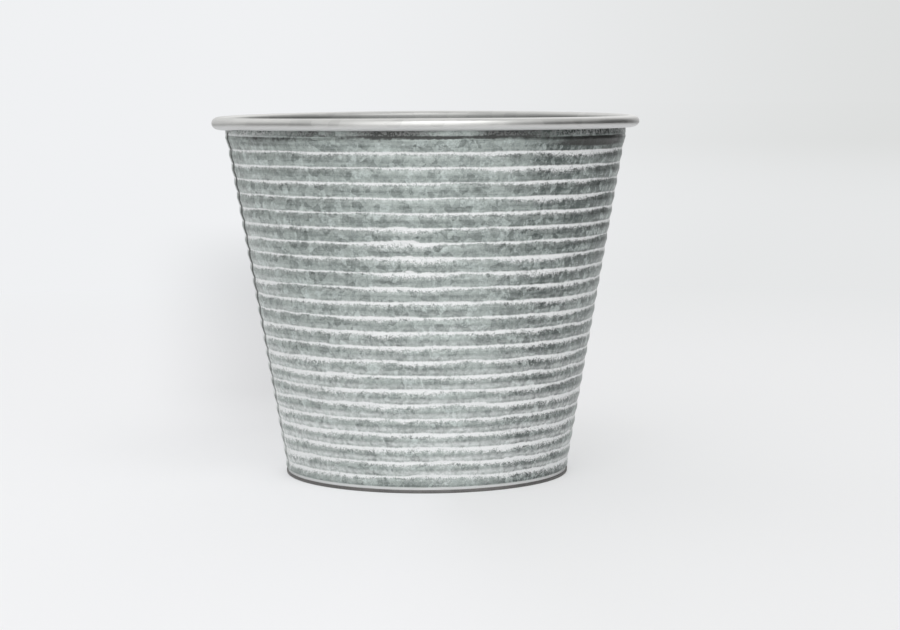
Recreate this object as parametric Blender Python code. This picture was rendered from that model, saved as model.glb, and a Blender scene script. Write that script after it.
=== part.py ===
# Ribbed florist bucket of galvanised sheet steel.
#
# The bucket stands on the ground plane: its origin is the centre of the circle
# that the base hem rests on, +Z runs up the bucket's axis and -Y is its front.
# The side seam runs down the left, SEAM_ANGLE round from +X.
# All sizes are in metres.

from math import atan2, cos, pi, radians, sin

import bmesh
import bpy
from mathutils import Vector

# ---- Driving dimensions ----
SHEET = 0.0005              # thickness of the galvanised sheet
GAP = 0.0003                # play between neighbouring pieces

RIM_RADIUS = 0.127          # outside of the curled rim, a 10 inch bucket
HEIGHT = 0.214              # ground to the top of the rim
CURL_HALF_WIDTH = 0.0043    # the curl is a slightly flat oval
CURL_HALF_HEIGHT = 0.00345
CURL_SWEEP = 315.0          # degrees that the sheet is rolled over the wire
CURL_STEPS = 7
WIRE_RADIUS = 0.0024

VALLEY_LINE_RADIUS = 0.08314    # the line through the valleys, where it meets the ground
TAPER = 0.1733                  # growth of that line's radius with height
RIB_COUNT = 23
RIB_PITCH = 0.008396
LOWEST_VALLEY = 0.00972
LOWEST_CREST = 0.0044       # the bottom band falls straight almost to the base hem
CREST_DROP = 0.48 * RIB_PITCH   # the wall falls straight from a valley to the next crest

NECK_GROOVE_DEPTH = 0.0003
NECK_TOP = 0.206            # below this height the neck may carry the lap

FOOT_RADIUS = 0.0837        # outside of the wall where it stands in the base hem
FOOT_TOP = 0.0029
HEM_RADIUS = 0.0845
HEM_HEIGHT = 0.0025
HEM_BEND = 0.0003           # chamfer of the hem's bends

FLOOR_HEIGHT = 0.006        # upper side of the base pan's floor
FLOOR_STEP_RADIUS = 0.068   # the middle of the floor is pressed down one step
FLOOR_STEP_DEPTH = 0.0015
FLOOR_STEP_RUN = 0.002

SEAM_ANGLE = 195.0          # degrees; the outer edge of the lapped side seam
SEGMENTS = 40               # facets round every turned piece, and across the lap
LAP_RISE = SHEET + GAP      # how far the lap's outer layer stands off

BEAD_THICKNESS = 0.0009     # seam sealant, run down the inner edge of the lap
BEAD_WIDTH = 0.0032
FILLET_TOP = 0.0082         # base sealant, a fillet between floor and wall
FILLET_REACH = 0.0018
FILLET_BOTTOM = 0.0042

STEP_ANGLE = 360.0 / SEGMENTS


# ---- Shared tools ----
def metal(name, colour, roughness, metallic):
    """A Principled material of one colour."""
    material = bpy.data.materials.new(name)
    material.use_nodes = True
    shader = material.node_tree.nodes["Principled BSDF"]
    shader.inputs["Base Color"].default_value = (*colour, 1.0)
    shader.inputs["Roughness"].default_value = roughness
    shader.inputs["Metallic"].default_value = metallic
    return material


def add_object(name, bm, material, parent):
    """Turn a bmesh into a named, smooth-shaded object under the parent."""
    mesh = bpy.data.meshes.new(name)
    bm.to_mesh(mesh)
    bm.free()
    mesh.materials.append(material)
    mesh.shade_smooth()
    mesh.set_sharp_from_angle(angle=radians(12.0))
    piece = bpy.data.objects.new(name, mesh)
    bpy.context.scene.collection.objects.link(piece)
    piece.parent = parent
    return piece


def around(radius, height, degrees):
    """A point at a radius and height, a number of degrees round from +X."""
    angle = radians(degrees)
    return Vector((radius * cos(angle), radius * sin(angle), height))


def turned(profile):
    """Spin a closed outline of (radius, height) points about the axis."""
    bm = bmesh.new()
    verts = [bm.verts.new(around(radius, height, SEAM_ANGLE)) for radius, height in profile]
    edges = [bm.edges.new(pair) for pair in zip(verts, verts[1:] + verts[:1])]
    bmesh.ops.spin(bm, geom=verts + edges, axis=(0, 0, 1), cent=(0, 0, 0),
                   angle=2 * pi, steps=SEGMENTS, use_merge=True)
    bmesh.ops.remove_doubles(bm, verts=bm.verts, dist=1e-6)
    bmesh.ops.dissolve_degenerate(bm, edges=bm.edges, dist=1e-6)
    bmesh.ops.recalc_face_normals(bm, faces=bm.faces)
    return bm


# ---- The wall's profile ----
def valley_radius(height):
    return VALLEY_LINE_RADIUS + TAPER * height


CURL_RADIUS = RIM_RADIUS - CURL_HALF_WIDTH
CURL_HEIGHT = HEIGHT - CURL_HALF_HEIGHT
NECK_RADIUS = RIM_RADIUS - 2 * CURL_HALF_WIDTH + SHEET
NECK_GROOVE = LOWEST_VALLEY + RIB_COUNT * RIB_PITCH


def wall_profile():
    """The painted face of the wall from its foot up to the end of the curl.

    Each point is (radius, height, lap), where lap says whether the side seam's
    layers lie over each other there: 0 no, 1 the outer layer stands off,
    2 the inner layer also runs on beneath it.
    """
    points = [(FOOT_RADIUS, SHEET + GAP, 0), (FOOT_RADIUS, FOOT_TOP, 0)]
    points.append((valley_radius(LOWEST_VALLEY), LOWEST_CREST, 1))
    points.append((valley_radius(LOWEST_VALLEY), LOWEST_VALLEY, 2))
    for rib in range(1, RIB_COUNT):
        valley = LOWEST_VALLEY + rib * RIB_PITCH
        points.append((valley_radius(valley), valley - CREST_DROP, 2))
        points.append((valley_radius(valley), valley, 2))
    points.append((NECK_RADIUS, NECK_GROOVE - CREST_DROP / 2, 2))
    points.append((NECK_RADIUS - NECK_GROOVE_DEPTH, NECK_GROOVE, 1))
    points.append((NECK_RADIUS, NECK_TOP, 0))
    for step in range(CURL_STEPS + 1):
        angle = radians(180.0 - CURL_SWEEP * step / CURL_STEPS)
        points.append((CURL_RADIUS + (CURL_HALF_WIDTH - SHEET) * cos(angle),
                       CURL_HEIGHT + (CURL_HALF_HEIGHT - SHEET) * sin(angle), 0))
    return points


def lap_rise(column, lap):
    """How far the sheet stands off in the first columns, which form the lap."""
    return LAP_RISE if column < 2 and lap > 0 else 0.0


# ---- The pieces ----
def build_wall(parent):
    """One sheet, rolled to a tapered tube, lapped down the side and ribbed.

    Its top edge is curled outwards over the wire and its foot stands in the
    base hem. Only the ribbed part is lapped: the curl and the foot are notched
    at the seam, so that their ends meet edge to edge.
    """
    profile = wall_profile()
    bm = bmesh.new()
    grid = []
    for radius, height, lap in profile:
        row = []
        for column in range(SEGMENTS + 2):
            degrees = SEAM_ANGLE + STEP_ANGLE * column
            if column == SEGMENTS and lap < 2:
                degrees -= GAP / radius * 180.0 / pi
            if column > SEGMENTS and lap < 2:
                row.append(None)
                continue
            row.append(bm.verts.new(around(radius + lap_rise(column, lap), height, degrees)))
        grid.append(row)
    for low, high in zip(grid, grid[1:]):
        for column in range(SEGMENTS + 1):
            corners = (low[column], low[column + 1], high[column + 1], high[column])
            if None not in corners:
                bm.faces.new(corners)
    wall = add_object("wall_sheet", bm, metal("galvanised_ribbed", (0.36, 0.40, 0.39), 0.5, 0.6),
                      parent)
    thicken = wall.modifiers.new("sheet_thickness", 'SOLIDIFY')
    thicken.thickness = SHEET
    thicken.offset = -1.0
    thicken.use_even_offset = True
    return wall


def build_rim_wire(parent):
    """The stiffening wire that the top edge is curled round."""
    sides = 10
    outline = []
    for side in range(sides):
        angle = 2 * pi * side / sides
        outline.append((CURL_RADIUS + WIRE_RADIUS * cos(angle), WIRE_RADIUS * sin(angle)))
    wire = add_object("rim_wire", turned(outline), metal("steel_wire", (0.42, 0.42, 0.43), 0.4, 1.0),
                      parent)
    wire.location.z = CURL_HEIGHT
    return wire


def build_base_pan(parent):
    """A pressed disc whose edge folds down inside the wall, under it and up outside it."""
    leg_outside = FOOT_RADIUS - SHEET - GAP
    leg_inside = leg_outside - SHEET
    hem_inside = HEM_RADIUS - SHEET
    step_foot = FLOOR_STEP_RADIUS - FLOOR_STEP_RUN
    low_floor = FLOOR_HEIGHT - FLOOR_STEP_DEPTH
    outline = [
        (0.0, low_floor), (step_foot, low_floor),
        (FLOOR_STEP_RADIUS, FLOOR_HEIGHT), (leg_outside - HEM_BEND, FLOOR_HEIGHT),
        (leg_outside, FLOOR_HEIGHT - HEM_BEND), (leg_outside, SHEET),
        (hem_inside, SHEET), (hem_inside, HEM_HEIGHT), (HEM_RADIUS, HEM_HEIGHT),
        (HEM_RADIUS, HEM_BEND), (HEM_RADIUS - HEM_BEND, 0.0),
        (leg_inside + HEM_BEND, 0.0), (leg_inside, HEM_BEND),
        (leg_inside, FLOOR_HEIGHT - SHEET), (FLOOR_STEP_RADIUS, FLOOR_HEIGHT - SHEET),
        (step_foot, low_floor - SHEET), (0.0, low_floor - SHEET),
    ]
    return add_object("base_pan", turned(outline),
                      metal("galvanised_plain", (0.30, 0.31, 0.32), 0.5, 0.7), parent)


def build_base_sealant(parent):
    """Sealing compound wiped into the corner between the floor and the wall."""
    crevice = FOOT_RADIUS - SHEET
    wall_side = valley_radius(LOWEST_VALLEY) - SHEET - GAP
    outline = [
        (crevice, FILLET_BOTTOM), (crevice + GAP, FILLET_BOTTOM),
        (wall_side, FLOOR_HEIGHT), (wall_side, FILLET_TOP),
        (crevice, FLOOR_HEIGHT + 3 * GAP),
        (crevice - FILLET_REACH, FLOOR_HEIGHT + GAP), (crevice, FLOOR_HEIGHT + GAP),
    ]
    return add_object("base_sealant", turned(outline),
                      metal("sealing_compound", (0.20, 0.21, 0.21), 0.7, 0.0), parent)


def build_seam_sealant(parent):
    """Sealing compound run down the inner edge of the side seam, over the ribs."""
    profile = [point for point in wall_profile() if point[2] == 2][1:-1]
    first = SEAM_ANGLE + STEP_ANGLE
    rib_slope = atan2(TAPER * RIB_PITCH, RIB_PITCH - CREST_DROP)
    back = SHEET / cos(rib_slope) + GAP
    front = back + BEAD_THICKNESS
    bm = bmesh.new()
    sections = []
    for radius, height, _ in profile:
        start = around(radius + LAP_RISE, height, first)
        along = around(radius, height, first + STEP_ANGLE) - start
        inward = -Vector((start.x, start.y, 0.0)).normalized()
        near = 2 * GAP / along.length
        far = near + BEAD_WIDTH / along.length
        bevel = BEAD_THICKNESS / along.length
        spots = [(near, back), (far, back), (far - bevel, front), (near + bevel, front)]
        sections.append([bm.verts.new(start + along * run + inward * depth)
                         for run, depth in spots])
    for low, high in zip(sections, sections[1:]):
        for side in range(4):
            after = (side + 1) % 4
            bm.faces.new((low[side], low[after], high[after], high[side]))
    bm.faces.new(sections[0])
    bm.faces.new(sections[-1])
    bmesh.ops.recalc_face_normals(bm, faces=bm.faces)
    return add_object("seam_sealant", bm, bpy.data.materials["sealing_compound"], parent)


def main():
    for old in list(bpy.data.objects):
        bpy.data.objects.remove(old)
    centre = bpy.data.objects.new("bucket_centre", None)
    bpy.context.scene.collection.objects.link(centre)
    build_wall(centre)
    build_rim_wire(centre)
    build_base_pan(centre)
    build_base_sealant(centre)
    build_seam_sealant(centre)


main()
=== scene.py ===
from math import cos, pi, radians, sin

import bmesh
import bpy
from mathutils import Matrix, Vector


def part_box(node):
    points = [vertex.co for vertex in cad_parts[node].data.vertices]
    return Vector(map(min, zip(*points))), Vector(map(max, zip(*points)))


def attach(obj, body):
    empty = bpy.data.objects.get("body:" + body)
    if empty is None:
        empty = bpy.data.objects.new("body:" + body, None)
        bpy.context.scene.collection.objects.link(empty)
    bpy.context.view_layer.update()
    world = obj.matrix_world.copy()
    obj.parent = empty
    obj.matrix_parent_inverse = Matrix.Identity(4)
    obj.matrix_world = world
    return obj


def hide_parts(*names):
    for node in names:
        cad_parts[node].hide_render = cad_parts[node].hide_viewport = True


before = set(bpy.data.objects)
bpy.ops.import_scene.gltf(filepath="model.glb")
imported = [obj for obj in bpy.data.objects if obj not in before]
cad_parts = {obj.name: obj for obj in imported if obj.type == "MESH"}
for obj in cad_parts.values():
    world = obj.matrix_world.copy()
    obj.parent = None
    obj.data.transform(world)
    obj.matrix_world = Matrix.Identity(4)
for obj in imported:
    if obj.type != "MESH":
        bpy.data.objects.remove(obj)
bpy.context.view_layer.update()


# ---- The ribbed wall ----
# One sheet of galvanised steel rolled to a tapered tube and lapped down the left side.
# Rollers press 23 valleys into it all the way round, and its top edge is curled outwards
# over a wire. The outside is rubbed with white wash, which stays in the valleys.
sheet = 0.0005
seam_angle = radians(195.0)
lap_rise = 0.0008
butt_gap = 0.0003
curl_gap = 0.00006

wall_low, wall_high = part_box("wall_sheet")
foot_radius = 0.0837
foot_top = 0.0029
valley_line = 0.08314
taper = 0.1733
rib_count = 22              # whole ribs between the 23 valleys
rib_pitch = 0.008396
lowest_valley = 0.00972
lowest_crest = 0.0044
crest_place = 0.52
crest_drop = 0.48 * rib_pitch
neck_groove = lowest_valley + (rib_count + 1) * rib_pitch
neck_groove_depth = 0.0003
neck_groove_half = 0.0009
rib_rows = (0.0, 0.05, 0.24, 0.38, 0.47, 0.55, 0.65, 0.84, 0.95)

rim_radius = 0.127
curl_half_width = 0.0043
curl_half_height = 0.00345
curl_width = curl_half_width - sheet
curl_rise = curl_half_height - sheet
curl_centre = Vector((rim_radius - curl_half_width, wall_high.z - curl_half_height))
curl_sweep = radians(315.0)
neck_radius = curl_centre.x - curl_width

# the rim was curled a little out of level: low in front and at the left, and sagging at both sides
rim_lean = Vector((0.0020, 0.0064))
rim_sag = 0.0008


class Flow:
    """A value in a node tree. An expression on it adds its Math nodes."""

    def __init__(self, bench, socket):
        self.bench = bench
        self.socket = socket

    def math(self, operation, *others):
        sockets = dict(enumerate((self, *others)))
        return self.bench.flow("ShaderNodeMath", 0, {"operation": operation}, sockets)

    def __add__(self, other):
        return self.math("ADD", other)

    def __radd__(self, other):
        return self.math("ADD", other)

    def __sub__(self, other):
        return self.math("SUBTRACT", other)

    def __rsub__(self, other):
        return self.math("MULTIPLY_ADD", -1.0, other)

    def __mul__(self, other):
        return self.math("MULTIPLY", other)

    def __rmul__(self, other):
        return self.math("MULTIPLY", other)

    def __truediv__(self, other):
        return self.math("DIVIDE", other)

    def step(self, start, end):
        """Rises smoothly from 0 at start to 1 at end, and falls where end is the lower."""
        return self.bench.flow("ShaderNodeMapRange", 0, {"interpolation_type": "SMOOTHSTEP"},
                               {"Value": self, "From Min": start, "From Max": end})

    def hump(self, middle, reach):
        """1 at the middle, falling smoothly to 0 at that reach on either side."""
        return (self - middle).math("ABSOLUTE").step(reach, 0.0)

    def clamped(self):
        return self.math("MAXIMUM", 0.0).math("MINIMUM", 1.0)


class Bench:
    """A node tree being built. Every node but those of a Flow's expressions comes from node()."""

    def __init__(self, tree):
        self.tree = tree

    def node(self, kind, settings=None, sockets=None):
        made = self.tree.nodes.new(kind)
        for name, value in (settings or {}).items():
            setattr(made, name, value)
        for key, value in (sockets or {}).items():
            self.plug(made.inputs[key], value)
        return made

    def plug(self, socket, value):
        if isinstance(value, Flow):
            self.tree.links.new(value.socket, socket)
        else:
            socket.default_value = value

    def flow(self, kind, output=0, settings=None, sockets=None):
        return Flow(self, self.node(kind, settings, sockets).outputs[output])

    def parts(self, vector):
        """The three numbers of a vector."""
        split = self.node("ShaderNodeSeparateXYZ", None, {0: vector})
        return [Flow(self, output) for output in split.outputs]

    def vector(self, x, y, z):
        return self.flow("ShaderNodeCombineXYZ", 0, None, {0: x, 1: y, 2: z})

    def noise(self, place, scale, detail=2.0, roughness=0.5):
        """Cloudy noise from 0 to 1."""
        return self.flow("ShaderNodeTexNoise", 0, None,
                         {"Vector": place, "Scale": scale, "Detail": detail, "Roughness": roughness})

    def grey(self, value):
        """A colour with all three parts that value, which may pass 1."""
        return self.vector(value, value, value)

    def between(self, share, low, high):
        """A colour from low at share 0 to high at share 1."""
        return self.flow("ShaderNodeMix", 2, {"data_type": "RGBA"}, {0: share, 6: low, 7: high})


class Finish(Bench):
    """A material with a Principled shader, patterned on the piece's own coordinates."""

    def __init__(self, name):
        self.material = bpy.data.materials.new(name)
        self.material.use_nodes = True
        super().__init__(self.material.node_tree)
        self.shader = self.tree.nodes["Principled BSDF"]
        self.place = self.flow("ShaderNodeTexCoord", "Object")

    def set(self, **inputs):
        for name, value in inputs.items():
            self.plug(self.shader.inputs[name.replace("_", " ").title()], value)

    def mark(self, name):
        """A number that the mesh keeps at its points."""
        return self.flow("ShaderNodeAttribute", "Fac", {"attribute_name": name})

    def bump(self, height, distance, strength=1.0):
        """Let a height from 0 to 1 stand that distance proud."""
        raised = self.flow("ShaderNodeBump", 0, None,
                           {"Height": height, "Distance": distance, "Strength": strength})
        self.plug(self.shader.inputs["Normal"], raised)


class Maker(Bench):
    """A Geometry Nodes tree with named inputs, run on a source object."""

    def __init__(self, name):
        super().__init__(bpy.data.node_groups.new(name, "GeometryNodeTree"))
        self.given = {}
        for side in ("INPUT", "OUTPUT"):
            self.tree.interface.new_socket("Geometry", in_out=side, socket_type="NodeSocketGeometry")
        self.entry = self.tree.nodes.new("NodeGroupInput")
        self.exit = self.tree.nodes.new("NodeGroupOutput")
        self.source = Flow(self, self.entry.outputs[0])

    def size(self, name, value, kind="NodeSocketFloat"):
        """A named input of the tree, and the value that it is given."""
        made = self.tree.interface.new_socket(name, in_out="INPUT", socket_type=kind)
        self.given[made.identifier] = value
        return Flow(self, self.entry.outputs[name])

    def sampled(self, kind, value, row):
        """The source's value at a point of it, counted from its first."""
        return self.flow("GeometryNodeSampleIndex", "Value", {"data_type": kind, "domain": "POINT"},
                         {"Geometry": self.source, "Value": value, "Index": row})

    def stored(self, geometry, name, value):
        """The geometry with a number kept at each of its points, for materials to read."""
        return self.flow("GeometryNodeStoreNamedAttribute", "Geometry",
                         {"data_type": "FLOAT", "domain": "POINT"},
                         {"Geometry": geometry, "Name": name, "Value": value})

    def made(self, name, source, geometry, material):
        """A plain mesh object of what the tree makes from the source."""
        finish = self.size("Finish", material, "NodeSocketMaterial")
        real = self.flow("GeometryNodeRealizeInstances", 0, None, {"Geometry": geometry})
        painted = self.flow("GeometryNodeSetMaterial", 0, None, {"Geometry": real, "Material": finish})
        self.plug(self.exit.inputs[0], painted)
        modifier = source.modifiers.new("maker", "NODES")
        modifier.node_group = self.tree
        for identifier, value in self.given.items():
            modifier[identifier] = value
        depsgraph = bpy.context.evaluated_depsgraph_get()
        mesh = bpy.data.meshes.new_from_object(source.evaluated_get(depsgraph), depsgraph=depsgraph)
        mesh.name = name
        mesh.shade_smooth()
        source.modifiers.remove(modifier)
        bpy.data.objects.remove(source)
        return placed(name, mesh)


def placed(name, mesh):
    """A mesh as an object of that name, linked into the scene."""
    piece = bpy.data.objects.new(name, mesh)
    bpy.context.scene.collection.objects.link(piece)
    return piece


def solid(piece):
    """The piece with its live modifiers turned into plain mesh."""
    depsgraph = bpy.context.evaluated_depsgraph_get()
    mesh = bpy.data.meshes.new_from_object(piece.evaluated_get(depsgraph), depsgraph=depsgraph)
    piece.modifiers.clear()
    piece.data = mesh
    return piece


def bent(points, reach, steps=3):
    """An outline whose inner corners are rounded, from that reach before each to past it."""
    path = [points[0]]
    for before, corner, after in zip(points, points[1:], points[2:]):
        start = corner + (before - corner).normalized() * min(reach, (before - corner).length / 2.2)
        end = corner + (after - corner).normalized() * min(reach, (after - corner).length / 2.2)
        for step in range(steps + 1):
            share = step / steps
            path.append(start.lerp(corner, share).lerp(corner.lerp(end, share), share))
    return path + [points[-1]]


def valley_radius(height):
    return valley_line + taper * height


def wall_outline():
    """Points (radius, height) up the painted face, from the foot to the end of the curl.

    With them come the rows where the ribs start and end, and the number of rows in the curl.
    """
    first = valley_radius(lowest_valley)
    last_valley = lowest_valley + rib_count * rib_pitch
    foot = bent([Vector((foot_radius, wall_low.z)), Vector((foot_radius, foot_top)),
                 Vector((first, lowest_crest)), Vector((first, lowest_valley - 0.0006))], 0.0006)
    ribs = []
    for rib in range(rib_count):
        for share in rib_rows:
            height = lowest_valley + (rib + share) * rib_pitch
            ribs.append(Vector((valley_radius(height), height)))
    neck = bent([Vector((valley_radius(last_valley), last_valley)),
                 Vector((neck_radius, neck_groove - crest_drop / 2)),
                 Vector((neck_radius, neck_groove - neck_groove_half)),
                 Vector((neck_radius - neck_groove_depth, neck_groove)),
                 Vector((neck_radius, neck_groove + neck_groove_half)),
                 Vector((neck_radius, curl_centre.y - 0.002))], 0.0005, 2)
    curl = []
    curl_steps = 22
    for step in range(curl_steps + 1):
        angle = pi - curl_sweep * step / curl_steps
        curl.append(curl_centre + Vector((curl_width * cos(angle), curl_rise * sin(angle))))
    return foot + ribs + neck + curl, len(foot), len(foot) + len(ribs), len(curl)


def wall_source():
    """The outline as a line of points that say where the sheet is ribbed and how far it is curled."""
    outline, first_rib, last_rib, curl_count = wall_outline()
    mesh = bpy.data.meshes.new("wall_outline")
    links = [(row, row + 1) for row in range(len(outline) - 1)]
    mesh.from_pydata([(radius, 0.0, height) for radius, height in outline], links, [])
    ribbed = mesh.attributes.new("ribbed", "FLOAT", "POINT")
    rolled_over = mesh.attributes.new("curl", "FLOAT", "POINT")
    curl_start = len(outline) - curl_count
    for row in range(len(outline)):
        ribbed.data[row].value = float(first_rib <= row <= last_rib)
        rolled_over.data[row].value = max(0.0, (row - curl_start) / (curl_count - 1))
    return placed("wall_outline", mesh)


zinc = Finish("weathered_zinc")
east, north, up = zinc.parts(zinc.place)
turns = zinc.mark("rib_turns")
front_angle = east.math("ARCTAN2", -1.0 * north) * (180.0 / pi)     # degrees right of the front

# the zinc's crystals, its cloudy grime and the streaks that the rollers leave along the ribs
warp = zinc.noise(zinc.place, 220.0, 3.0)
crystal_shift = 0.0035
crystal_place = zinc.flow("ShaderNodeVectorMath", 0, {"operation": "MULTIPLY_ADD"},
                          {0: zinc.vector(warp, 1.0 - warp, warp),
                           1: (crystal_shift, crystal_shift, crystal_shift),
                           2: zinc.place})
crystals = zinc.node("ShaderNodeTexVoronoi", None, {"Vector": crystal_place, "Scale": 225.0})
crystal, frost, _ = zinc.parts(Flow(zinc, crystals.outputs["Color"]))
mottle = zinc.noise(zinc.place, 430.0, 4.0, 0.65)
grain = zinc.noise(zinc.place, 1500.0, 3.0, 0.7)
cloud = zinc.noise(zinc.place, 30.0, 3.0, 0.55)
streak_place = zinc.vector(east * 70.0, north * 70.0, up * 1300.0)
streak = zinc.noise(streak_place, 1.0, 4.0, 0.65)

# white wash: each valley holds a band that starts a little above it and ends raggedly below
low = up.step(0.17, 0.02)
front_patch = front_angle.hump(-4.0, 20.0) * up.hump(0.136, 0.032)
rise_noise = zinc.noise(zinc.vector(east * 40.0, north * 40.0, up * 60.0), 1.0, 3.0, 0.6)
paint_above = (0.07 + (0.05 + 0.07 * low) * rise_noise.step(0.42, 0.70)
               + 0.20 * front_patch * rise_noise.step(0.36, 0.56))
valley = (turns - paint_above).math("CEIL")
drop = valley - turns
row_place = zinc.vector(east * 18.0, north * 18.0, valley * 3.7)
row_swell = zinc.noise(row_place, 1.0, 3.0, 0.6)
right_side = front_angle.hump(44.0, 36.0)
left_side = front_angle.hump(-85.0, 50.0)
band = (0.085 + 0.125 * low + 0.14 * right_side * (1.0 - 0.75 * low) + 0.10 * left_side * low
        + 0.26 * front_patch + 0.75 * (row_swell - 0.43)).math("MAXIMUM", 0.075)
specks_in_wash = (grain - 0.5) * 3.2 + (mottle - 0.5) * 2.0
run_out = (drop + paint_above - 0.05) / band * 1.25
under_edge = (specks_in_wash + 1.75 - run_out).step(0.05, 1.15)
top_edge = (drop + paint_above + (mottle - 0.5) * 0.08 + (grain - 0.5) * 0.12).step(-0.01, 0.12)
band_holds = turns.step(22.6, 22.2) * turns.step(-0.6, -0.5)
worn = (zinc.noise(row_place, 2.6, 3.0, 0.6) + 0.35 * (mottle - 0.5)).step(0.30, 0.46)
wash = under_edge * top_edge * band_holds * (0.72 + 0.28 * worn)

# a thick line over the hem, and the thinner wash that the rubbing leaves over the ribs
foot_line = up.hump(0.0026, 0.0014) * (1.9 + 1.2 * (mottle - 0.5))
haze_field = zinc.noise(zinc.place, 45.0, 4.0, 0.65)
haze = (haze_field + 0.06 * low + 0.12 * left_side - 0.04 * right_side
        + (grain - 0.5) * 0.7).step(0.60, 1.0)
feather = (drop - band).step(0.30, 0.0) * (grain * 0.7 + mottle * 0.6).step(0.50, 0.85)
rib_share = turns - turns.math("FLOOR")
flank_haze = (rib_share.hump(0.24, 0.34) * (1.60 * low * up.step(0.18, 0.04) + 0.9 * left_side)
              * (0.55 + 1.6 * (mottle - 0.5) + 1.0 * (cloud - 0.5)).clamped() * band_holds)
past_seam = zinc.mark("past_seam")
seam_edge = past_seam.hump(0.0066, 0.0016) * low * (0.55 + 1.5 * (mottle - 0.5)).clamped()
white = (wash + foot_line + 0.35 * feather * top_edge * band_holds + 0.40 * haze
         + 0.55 * flank_haze + 0.7 * seam_edge).clamped()

# the neck keeps grime and specks of wash under the rim
neck = up.step(0.1990, 0.2005)
above_groove = up.step(0.2024, 0.2034)
below_groove = up.step(0.1955, 0.1985) * up.step(0.2029, 0.2014)
upper_grime = (front_angle.hump(22.0, 20.0) + 0.9 * front_angle.hump(-8.0, 20.0)
               + 0.8 * front_angle.hump(-32.0, 12.0))
lower_grime = 0.12 + 1.25 * front_angle.hump(57.0, 30.0) + 0.42 * front_angle.hump(-52.0, 30.0)
in_groove = up.hump(0.2025, 0.0016) * (0.35 + 0.75 * front_angle.hump(8.0, 34.0))
grime = (above_groove * upper_grime + below_groove * lower_grime
         + neck * ((mottle + cloud - 1.0) * 1.8 + (grain - 0.5) * 0.8) + in_groove).step(0.15, 0.95)
speck_patch = 1.2 * front_angle.hump(62.0, 30.0) + 1.7 * front_angle.hump(-76.0, 46.0)
speck_field = (zinc.noise(zinc.place, 900.0, 2.0, 0.6) + 0.5 * (mottle - 0.5)).step(0.46, 0.56)
specks = up.step(0.2030, 0.2040) * speck_field * (speck_patch + 0.25).clamped()
groove_line = up.hump(0.2030, 0.0011) * front_angle.hump(-74.0, 38.0) * (1.3 + 2.0 * (mottle - 0.5))

# painted shadow and dirt lie along the seam's outer edge, dirt lies under the crests, and the right front is
# darkened with painted shade
seam_shadow_and_dirt = ((past_seam + (mottle - 0.5) * 0.004).step(0.0064, 0.0030)
             * up.step(0.003, 0.008) * up.step(0.2085, 0.206)
             * (0.60 + 0.40 * up.step(0.02, 0.14) + 0.8 * (mottle - 0.5)).clamped())
crest_line = rib_share.hump(0.43, 0.18)
crest_dirt = crest_line * (streak + 0.5 * (cloud - 0.5)).step(0.38, 0.72)
# painted shade: the right front's tone is darkened
painted_shade_right_front = front_angle.step(22.0, 40.0) * front_angle.step(88.0, 68.0)
tone = (0.50 + 0.34 * (crystal - 0.5) + 0.75 * (mottle - 0.5) + 0.5 * (cloud - 0.5)
        + 0.6 * (streak - 0.5) + 0.5 * (grain - 0.5) - 0.34 * crest_dirt - 0.32 * painted_shade_right_front).clamped()
zinc_dark = (0.100, 0.118, 0.112, 1.0)
zinc_light = (0.62, 0.685, 0.655, 1.0)
zinc_frost = (0.64, 0.71, 0.69, 1.0)
grime_black = (0.030, 0.030, 0.028, 1.0)
speck_white = (0.68, 0.69, 0.685, 1.0)
wash_white = (0.80, 0.812, 0.812, 1.0)
stain = front_angle.hump(15.0, 2.6) * up.hump(0.1742, 0.0038) * (0.7 + 1.5 * (mottle - 0.5))
bare = zinc.between(tone - 0.6 * stain, zinc_dark, zinc_light)
frosting = (frost + 1.2 * (mottle - 0.5) + 0.8 * (grain - 0.5)).step(0.66, 1.15) * 0.55
frosted = zinc.between(frosting, bare, zinc_frost)
grimed = zinc.between((0.92 * grime).math("MAXIMUM", 0.9 * seam_shadow_and_dirt), frosted, grime_black)
speckled = zinc.between(specks * 0.85, grimed, speck_white)
painted = ((white + 0.7 * groove_line) * (1.0 - 0.95 * seam_shadow_and_dirt)).clamped()
zinc.set(base_color=zinc.between(painted, speckled, wash_white),
         roughness=0.38 + 0.14 * (crystal - 0.5) + 0.3 * white + 0.45 * seam_shadow_and_dirt,
         metallic=(0.90 - 0.88 * white - 0.5 * grime - 0.9 * seam_shadow_and_dirt).clamped())
zinc.bump(0.30 * crystal + 0.40 * mottle + 0.5 * white * (0.6 + 0.4 * grain) + 0.25 * streak, 0.00025)


# the rim and the inside keep their satin zinc, with painted shadow at the curl's tip and painted shade high
# up inside
bright = Finish("satin_zinc")
east, north, up = bright.parts(bright.place)
turned_streak = bright.noise(bright.vector(east * 25.0, north * 25.0, up * 500.0), 1.0, 3.0, 0.6)
bright_crystals = bright.node("ShaderNodeTexVoronoi", None, {"Vector": bright.place, "Scale": 120.0})
bright_crystal = bright.parts(Flow(bright, bright_crystals.outputs["Color"]))[0]
bright_cloud = bright.noise(bright.place, 30.0, 3.0, 0.6)
bright_tone = (0.55 + 0.35 * (bright_crystal - 0.5) + 0.5 * (bright_cloud - 0.5)
               + 0.3 * (turned_streak - 0.5)).clamped()
curled = bright.mark("curled")
inside = curled.step(0.16, 0.02)
underside = curled.step(0.60, 0.68)
rim_tone = bright.between(bright_tone, (0.46, 0.462, 0.45, 1.0), (0.66, 0.66, 0.645, 1.0))
# the curl's tip, tucked in against the wall, is painted dark as its shadow
underside_and_tip_shadow_tone = bright.between(curled.step(0.80, 0.92), (0.60, 0.605, 0.60, 1.0), (0.16, 0.16, 0.16, 1.0))
lit_tone = bright.between(underside, rim_tone, underside_and_tip_shadow_tone)
deep_tone = bright.between(bright_tone, (0.40, 0.405, 0.40, 1.0), (0.62, 0.625, 0.615, 1.0))
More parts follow.
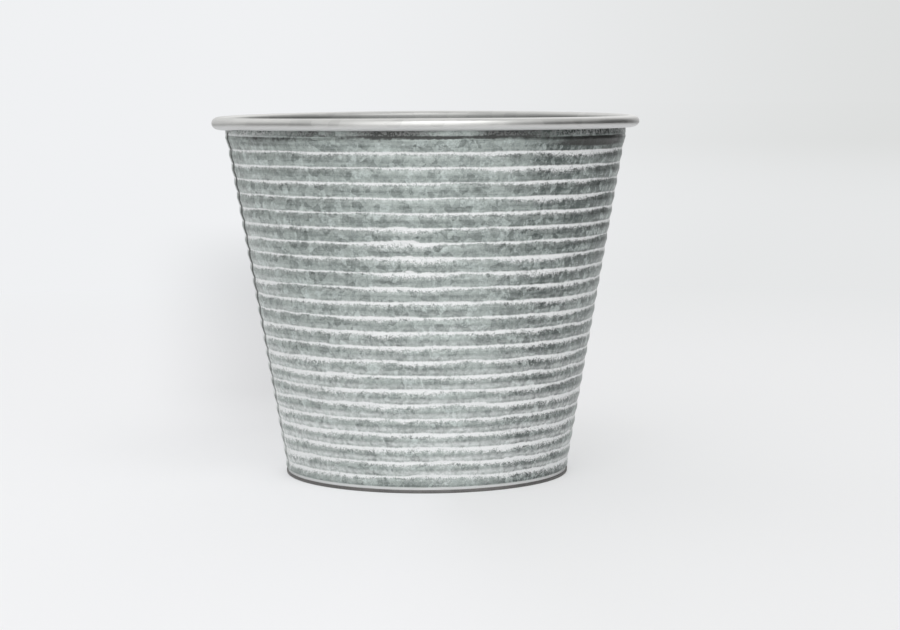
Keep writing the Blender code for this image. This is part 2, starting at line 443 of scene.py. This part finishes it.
# high up inside, under the rim, the zinc is painted darker as shade
high_inside_shade_tone = bright.between(bright_tone, (0.22, 0.225, 0.22, 1.0), (0.42, 0.425, 0.415, 1.0))
inside_tone = bright.between(up.step(0.184, 0.202), deep_tone, high_inside_shade_tone)
bright.set(base_color=bright.between(inside, lit_tone, inside_tone),
           roughness=0.38 + 0.14 * (bright_cloud - 0.5) + 0.08 * (bright_crystal - 0.5) + 0.18 * inside,
           metallic=0.92 - 0.45 * underside)
bright.bump(0.5 * bright_crystal + 0.5 * bright_cloud, 0.00012)


rolled = Maker("rolled_and_ribbed")
columns = rolled.size("Columns round", 160, "NodeSocketInt")
lap_columns = rolled.size("Lap columns", 4, "NodeSocketInt")
seam = rolled.size("Seam angle", seam_angle)
pitch = rolled.size("Rib pitch", rib_pitch)
lowest = rolled.size("Lowest valley", lowest_valley)
crest_at = rolled.size("Crest place", crest_place)
crest_rise = rolled.size("Crest rise", taper * crest_drop)
crest_soft = rolled.size("Crest softness", 0.7)
stand_off = rolled.size("Lap rise", lap_rise)
gap = rolled.size("Butt gap", curl_gap)
lap_start = rolled.size("Lap starts at", 0.0034)
lap_end = rolled.size("Lap ends at", 0.2065)
wobble = rolled.size("Wobble", 0.00045)
waver = rolled.size("Rib waver", 0.0005)
lean_side = rolled.size("Rim lean sideways", rim_lean.x)
lean_back = rolled.size("Rim lean backwards", rim_lean.y)
sag = rolled.size("Rim sag", rim_sag)
seam_swell = rolled.size("Curl swell at seam", 0.0005)
seed = rolled.size("Seed", 4.0)

rows = rolled.flow("GeometryNodeAttributeDomainSize", "Point Count", None, {"Geometry": rolled.source})
grid = rolled.flow("GeometryNodeMeshGrid", "Mesh", None,
                   {"Vertices X": columns + lap_columns + 1, "Vertices Y": rows})
index = rolled.flow("GeometryNodeInputIndex")
column = ((index + 0.5) / rows).math("FLOOR")
row = index - column * rows
outline_point = rolled.flow("GeometryNodeInputPosition")
radius, _, height = rolled.parts(rolled.sampled("FLOAT_VECTOR", outline_point, row))
ribbed, curl = [
    rolled.sampled("FLOAT", rolled.flow("GeometryNodeInputNamedAttribute", "Attribute",
                                        {"data_type": "FLOAT"}, {"Name": mark}), row)
    for mark in ("ribbed", "curl")]

rib_turns = (height - lowest) / pitch
share = rib_turns - rib_turns.math("FLOOR")
flank = (share / crest_at).math("SMOOTH_MIN", (1.0 - share) / (1.0 - crest_at), crest_soft)
ribs_out = ribbed * crest_rise * flank.math("MAXIMUM", 0.0)
lapped = height.step(lap_start, lap_start + 0.0016) * height.step(lap_end, lap_end - 0.0022)
outer_layer = column.step(lap_columns * 2.0, lap_columns * 1.0)
on_top = lapped * outer_layer * stand_off

past_round = (column - columns).math("GREATER_THAN", -0.5)
laps_under = lapped.math("GREATER_THAN", 0.9)
butted = past_round * (1.0 - laps_under) * gap / radius
turn = seam + column / columns * (2.0 * pi) - butted

noise_place = rolled.vector(turn.math("COSINE") * radius, turn.math("SINE") * radius, height + seed)
dents = rolled.noise(noise_place, 14.0, 1.0) - 0.5
wavers = rolled.noise(noise_place, 24.0, 2.0) - 0.5
free_of_foot = height.step(0.006, 0.03)
seam_arc = (column / columns * 360.0).math("MINIMUM", (columns - column) / columns * 360.0)
swollen = seam_swell * curl.hump(0.78, 0.30) * seam_arc.step(16.0, 3.0)
reach = radius + ribs_out + on_top + wobble * dents * free_of_foot + 0.5 * swollen
rightward, backward = turn.math("COSINE"), turn.math("SINE")
leaning = ((lean_side * rightward + lean_back * backward) * reach
           - sag * rightward * rightward) * height.step(0.197, 0.2075)
lift = height + waver * wavers * free_of_foot * height.step(0.206, 0.196) + leaning - swollen
spot = rolled.vector(rightward * reach, backward * reach, lift)
shaped = rolled.flow("GeometryNodeSetPosition", 0, None, {"Geometry": grid, "Position": spot})
column_width = 2.0 * pi * radius / columns
marked = rolled.stored(shaped, "rib_turns", rib_turns)
marked = rolled.stored(marked, "curled", curl)
marked = rolled.stored(marked, "past_seam", column * column_width)
spare = (column - columns).math("GREATER_THAN", 0.5) * (1.0 - laps_under)
trimmed = rolled.flow("GeometryNodeDeleteGeometry", 0, {"domain": "POINT"},
                      {"Geometry": marked, "Selection": spare})
wall = rolled.made("wall_sheet_finished", wall_source(), trimmed, zinc.material)
wall.data.materials.append(bright.material)
thickness = wall.modifiers.new("sheet_thickness", "SOLIDIFY")
thickness.thickness = sheet
thickness.offset = -1.0
thickness.use_even_offset = True
thickness.material_offset = 1
thickness.material_offset_rim = 1
wall = solid(wall)
wall.data.set_sharp_from_angle(angle=radians(40.0))     # so that the sheet's cut edges stay crisp
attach(wall, "root")
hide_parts("wall_sheet")


# ---- The rim wire ----
# A ring of drawn steel wire that stiffens the rim. The curl hides it, apart from
# what shows through the slot where the curl ends against the wall.
drawn = Finish("drawn_steel")
east, north, up = drawn.parts(drawn.place)
drawing_lines = drawn.noise(drawn.vector(east * 30.0, north * 30.0, up * 3000.0), 1.0, 3.0, 0.6)
rust = drawn.noise(drawn.place, 90.0, 4.0, 0.6).step(0.56, 0.74)
drawn.set(base_color=drawn.between(rust, (0.36, 0.36, 0.37, 1.0), (0.16, 0.10, 0.07, 1.0)),
          roughness=0.32 + 0.35 * rust + 0.1 * drawing_lines,
          metallic=0.95 - 0.6 * rust)
drawn.bump(drawing_lines, 0.00005)


def swept(name, sections, material, closed):
    """A skin over like sections, joined end to end or capped."""
    bm = bmesh.new()
    loops = [[bm.verts.new(point) for point in section] for section in sections]
    pairs = list(zip(loops, loops[1:]))
    if closed:
        pairs.append((loops[-1], loops[0]))
    else:
        bm.faces.new(loops[0])
        bm.faces.new(loops[-1])
    for first, second in pairs:
        for spot in range(len(first)):
            after = (spot + 1) % len(first)
            bm.faces.new((first[spot], first[after], second[after], second[spot]))
    bmesh.ops.recalc_face_normals(bm, faces=bm.faces)
    mesh = bpy.data.meshes.new(name)
    bm.to_mesh(mesh)
    bm.free()
    mesh.shade_smooth()
    mesh.materials.append(material)
    return placed(name, mesh)


def at(angle, radius, height):
    return Vector((radius * cos(angle), radius * sin(angle), height))


wire_radius = 0.0024
wire_steps = 180
wire_sides = 14
wire_sections = []
for step in range(wire_steps):
    angle = 2 * pi * step / wire_steps
    lean = rim_lean.dot((cos(angle), sin(angle))) * curl_centre.x
    level = curl_centre.y + lean - rim_sag * cos(angle) ** 2
    wire_sections.append([at(angle, curl_centre.x + wire_radius * cos(turn), level + wire_radius * sin(turn))
                          for turn in (2 * pi * side / wire_sides for side in range(wire_sides))])
wire = swept("rim_wire_drawn", wire_sections, drawn.material, True)
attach(wire, "root")
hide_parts("rim_wire")


# ---- The base pan ----
# A pressed disc of dull zinc-coated sheet. Its edge folds down inside the wall, runs under the
# wall's foot and up again outside it, which makes the dark hem that the bucket stands on.
pan_leg = foot_radius - sheet - butt_gap
hem_radius = 0.0845
hem_inside = hem_radius - sheet
hem_height = 0.0020
floor_height = 0.006
floor_step = 0.0015
step_radius = 0.068
step_run = 0.002
pan_steps = 180


def turned(name, path, steps):
    """A path of (radius, height) points turned about the axis. Going outwards its left is up."""
    bm = bmesh.new()
    rings = []
    for radius, height in path:
        if radius < 1e-6:
            rings.append([bm.verts.new((0.0, 0.0, height))] * steps)
            continue
        rings.append([bm.verts.new((radius * cos(2 * pi * step / steps),
                                    radius * sin(2 * pi * step / steps), height))
                      for step in range(steps)])
    for inner, outer in zip(rings, rings[1:]):
        for step in range(steps):
            after = (step + 1) % steps
            corners = [inner[step], outer[step], outer[after], inner[after]]
            bm.faces.new(list(dict.fromkeys(corners)))
    mesh = bpy.data.meshes.new(name)
    bm.to_mesh(mesh)
    bm.free()
    mesh.shade_smooth()
    return placed(name, mesh)


pan_zinc = Finish("dull_zinc")
east, north, _ = pan_zinc.parts(pan_zinc.place)
pan_crystals = pan_zinc.node("ShaderNodeTexVoronoi", None, {"Vector": pan_zinc.place, "Scale": 110.0})
pan_crystal = pan_zinc.parts(Flow(pan_zinc, pan_crystals.outputs["Color"]))[0]
pan_cloud = pan_zinc.noise(pan_zinc.place, 35.0, 4.0, 0.6)
pan_grain = pan_zinc.noise(pan_zinc.place, 900.0, 3.0, 0.6)
outside_hem = (east * east + north * north).math("SQRT").step(0.0838, 0.0841)
pan_tone = (0.5 + 0.5 * (pan_crystal - 0.5) + 0.5 * (pan_cloud - 0.5) + 0.3 * (pan_grain - 0.5)).clamped()
clean = pan_zinc.between(pan_tone, (0.34, 0.345, 0.34, 1.0), (0.60, 0.605, 0.60, 1.0))
hem_tone = (0.5 + 1.1 * (pan_cloud - 0.5) + 0.8 * (pan_grain - 0.5)).clamped()
grimy = pan_zinc.between(hem_tone, (0.082, 0.081, 0.078, 1.0), (0.228, 0.224, 0.216, 1.0))
pan_zinc.set(base_color=pan_zinc.between(outside_hem, clean, grimy),
             roughness=0.40 + 0.1 * (pan_cloud - 0.5) + 0.12 * outside_hem,
             metallic=0.85 - 0.35 * outside_hem)
pan_zinc.bump(0.5 * pan_crystal + 0.5 * pan_grain, 0.0001)

low_floor = floor_height - floor_step
pan_path = (
    bent([Vector((0.0, low_floor)), Vector((step_radius - step_run, low_floor)),
          Vector((step_radius, floor_height)), Vector((pan_leg, floor_height)),
          Vector((pan_leg, sheet)), Vector((hem_inside, sheet)),
          Vector((hem_inside, 0.0009))], 0.00045, 4)
    + [Vector((hem_inside - 0.00012, 0.0011)), Vector((hem_inside, 0.0013)),
       Vector((hem_inside, hem_height))])
pan = turned("base_pan_finished", pan_path, pan_steps)
fold = pan.modifiers.new("sheet_thickness", "SOLIDIFY")
fold.thickness = sheet
fold.offset = -1.0
fold.use_even_offset = True
pan.data.materials.append(pan_zinc.material)
pan = solid(pan)
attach(pan, "root")
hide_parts("base_pan")


# ---- The sealing compound ----
# Grey compound makes the bucket watertight. A fillet is wiped into the corner between the floor
# and the wall, and a bead is run down the inner edge of the side seam.
compound = Finish("sealing_compound_finish")
lumps = compound.noise(compound.place, 260.0, 4.0, 0.6)
dust = compound.noise(compound.place, 40.0, 3.0, 0.6)
compound.set(base_color=compound.between((0.5 + 1.2 * (dust - 0.5) + 0.5 * (lumps - 0.5)).clamped(),
                                         (0.15, 0.155, 0.155, 1.0), (0.31, 0.315, 0.31, 1.0)),
             roughness=0.62 + 0.2 * (lumps - 0.5), metallic=0.0)
compound.bump(lumps, 0.0004)

crevice = foot_radius - sheet
wall_side = valley_radius(lowest_valley) - sheet - butt_gap
fillet_steps = 150


def fillet_section(angle):
    """The fillet's outline at an angle: its wiped face rises and falls as the finger did."""
    wave = 0.5 * sin(3 * angle + 0.7) + 0.3 * sin(7 * angle + 2.1) + 0.2 * sin(17 * angle)
    top = 0.0078 + 0.0004 * wave
    toe = crevice - 0.0016 - 0.0003 * wave
    base = floor_height + butt_gap
    points = [(crevice + 0.0001, 0.0042), (crevice + butt_gap, 0.0042), (wall_side, floor_height),
              (wall_side, top)]
    for share in (0.2, 0.4, 0.6, 0.8):
        sag = 0.35 * sin(pi * share)
        points.append((wall_side + (toe - wall_side) * (share + sag * (1 - share)),
                       top + (base - top) * (share + sag * (1 - share) * 0.4)))
    return points + [(toe, base), (crevice, base)]


fillet_sections = []
for step in range(fillet_steps):
    angle = 2 * pi * step / fillet_steps
    fillet_sections.append([at(angle, radius, height) for radius, height in fillet_section(angle)])
fillet = swept("base_sealant_finished", fillet_sections, compound.material, True)
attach(fillet, "root")
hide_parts("base_sealant")


def rib_out(height):
    """How far the wall stands off its valley line at that height."""
    share = ((height - lowest_valley) / rib_pitch) % 1.0
    return taper * crest_drop * min(share / crest_place, (1.0 - share) / (1.0 - crest_place), 0.9)


bead_sections = []
lap_turn = radians(9.0)
bead_width = 0.0030
bead_thick = 0.0008
bead_rows = 330
bead_low, bead_high = 0.0125, 0.1925
for row in range(bead_rows + 1):
    height = bead_low + (bead_high - bead_low) * row / bead_rows
    back = valley_radius(height) + rib_out(height) - sheet - 0.0002
    swell = 1.0 + 0.14 * sin(230 * height) + 0.09 * sin(610 * height + 1.0)
    start = seam_angle + lap_turn + 0.0006 / back
    wide = bead_width * swell / back
    section = [at(start, back, height), at(start + wide, back, height)]
    for share in (0.85, 0.6, 0.35, 0.12):
        depth = bead_thick * swell * (1.0 - (2 * share - 1.0) ** 2) ** 0.5
        section.append(at(start + wide * share, back - depth, height))
    bead_sections.append(section)
bead = swept("seam_sealant_finished", bead_sections, compound.material, False)
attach(bead, "root")
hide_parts("seam_sealant")


# ---- The floor, the light and the camera ----
# A pale floor that runs out into a pale room, one wide soft light in front and the room's own
# light: bright behind, dimmer at the left and dimmest at the right.
scene = bpy.context.scene


def room_glow(east, north):
    """How bright the room is towards each side."""
    turn_right = east.math("ARCTAN2", -1.0 * north) * (180.0 / pi)     # degrees right of the front
    front_glow = turn_right.hump(0.0, 75.0) * 1.75
    left_glow = turn_right.hump(-75.0, 60.0) * 0.30 + turn_right.step(-85.0, -130.0) * 0.80
    right_glow = turn_right.step(135.0, 165.0) * 1.15
    return front_glow + left_glow + right_glow + 0.02


floor_mesh = bpy.data.meshes.new("floor")
reach_out = 30.0
floor_mesh.from_pydata([(-reach_out, -reach_out, 0.0), (reach_out, -reach_out, 0.0),
                        (reach_out, reach_out, 0.0), (-reach_out, reach_out, 0.0)], [], [(0, 1, 2, 3)])
floor = placed("floor", floor_mesh)
paper = Finish("floor_paper")
east, north, _ = paper.parts(paper.place)
far_left = (0.870, 0.880, 0.895, 1.0)
far_right = (0.725, 0.735, 0.730, 1.0)
paper_tone = (0.85, 0.85, 0.86, 1.0)
black = (0.0, 0.0, 0.0, 1.0)
shade_strength = 0.22
away = (east * east + north * north).math("SQRT")
side = east / away.math("MAXIMUM", 0.001)
toward_right = side.step(-0.10, 0.24) * (1.0 - 0.45 * away.step(9.0, 2.4))
# far off, the floor glows with painted light, dimmer towards the right
far_tone = paper.between(toward_right, far_left, far_right)
# a painted soft shadow of the bucket lies on the floor behind it and to the left
behind = ((east + 0.122 + 0.10 * north) / (0.045 + 0.03 * north)).step(-1.3, 1.1) * east.step(0.10, 0.0)
soft_shade = behind * north.step(0.06, 0.40) * north.step(2.8, 1.2)
shaded_tone = paper.between(soft_shade * shade_strength, far_tone, black)
floor_glow = room_glow(east, north) * 0.55
by_eye = paper.flow("ShaderNodeLightPath", "Is Camera Ray")
far_light = paper.flow("ShaderNodeEmission", 0, None,
                       {"Color": paper.between(by_eye, paper.grey(floor_glow), shaded_tone)})
paper.set(base_color=paper.between(soft_shade * shade_strength, paper_tone, black), roughness=0.9)
lit = Flow(paper, paper.shader.outputs[0])
far_share = (away.step(0.5, 2.2) + 0.52 * by_eye).clamped()
blend = paper.flow("ShaderNodeMixShader", 0, None, {0: far_share, 1: lit, 2: far_light})
paper.plug(paper.tree.nodes["Material Output"].inputs["Surface"], blend)
floor.data.materials.append(paper.material)

world = bpy.data.worlds.new("room")
world.use_nodes = True
scene.world = world
room = Bench(world.node_tree)
background = world.node_tree.nodes["Background"]
look = room.flow("ShaderNodeTexCoord", "Generated")
east, north, up = room.parts(look)
seen = room.between(east.step(-0.10, 0.24), far_left, far_right)
strength = room_glow(east, north) * up.step(1.0, 0.45) + 0.80 * up.step(0.2, 0.9)
by_eye = room.flow("ShaderNodeLightPath", "Is Camera Ray")
room.plug(background.inputs["Color"], room.between(by_eye, room.grey(strength), seen))


def softbox(name, place, aim, width, height, power):
    """A rectangular area light that faces a point."""
    lamp = bpy.data.lights.new(name, "AREA")
    lamp.shape = "RECTANGLE"
    lamp.size = width
    lamp.size_y = height
    lamp.energy = power
    box = bpy.data.objects.new(name, lamp)
    scene.collection.objects.link(box)
    box.location = place
    box.rotation_euler = (aim - place).to_track_quat("-Z", "Y").to_euler()


rim_top = Vector((0.0, 0.0, wall_high.z))
softbox("front_softbox", Vector((0.35, -1.15, 2.25)), rim_top, 1.5, 1.0, 12.5)

lens = bpy.data.cameras.new("camera")
lens.lens = 93.52
lens.sensor_width = 36.0
lens.clip_end = 60.0
camera = bpy.data.objects.new("camera", lens)
scene.collection.objects.link(camera)
camera.location = (0.01416, -1.3978, 0.2305)
look_down = radians(90.0 - 5.586)
roll = radians(0.18)
camera.rotation_euler = (look_down, roll * sin(look_down), -roll * cos(look_down))
scene.camera = camera
scene.view_settings.view_transform = "Standard"
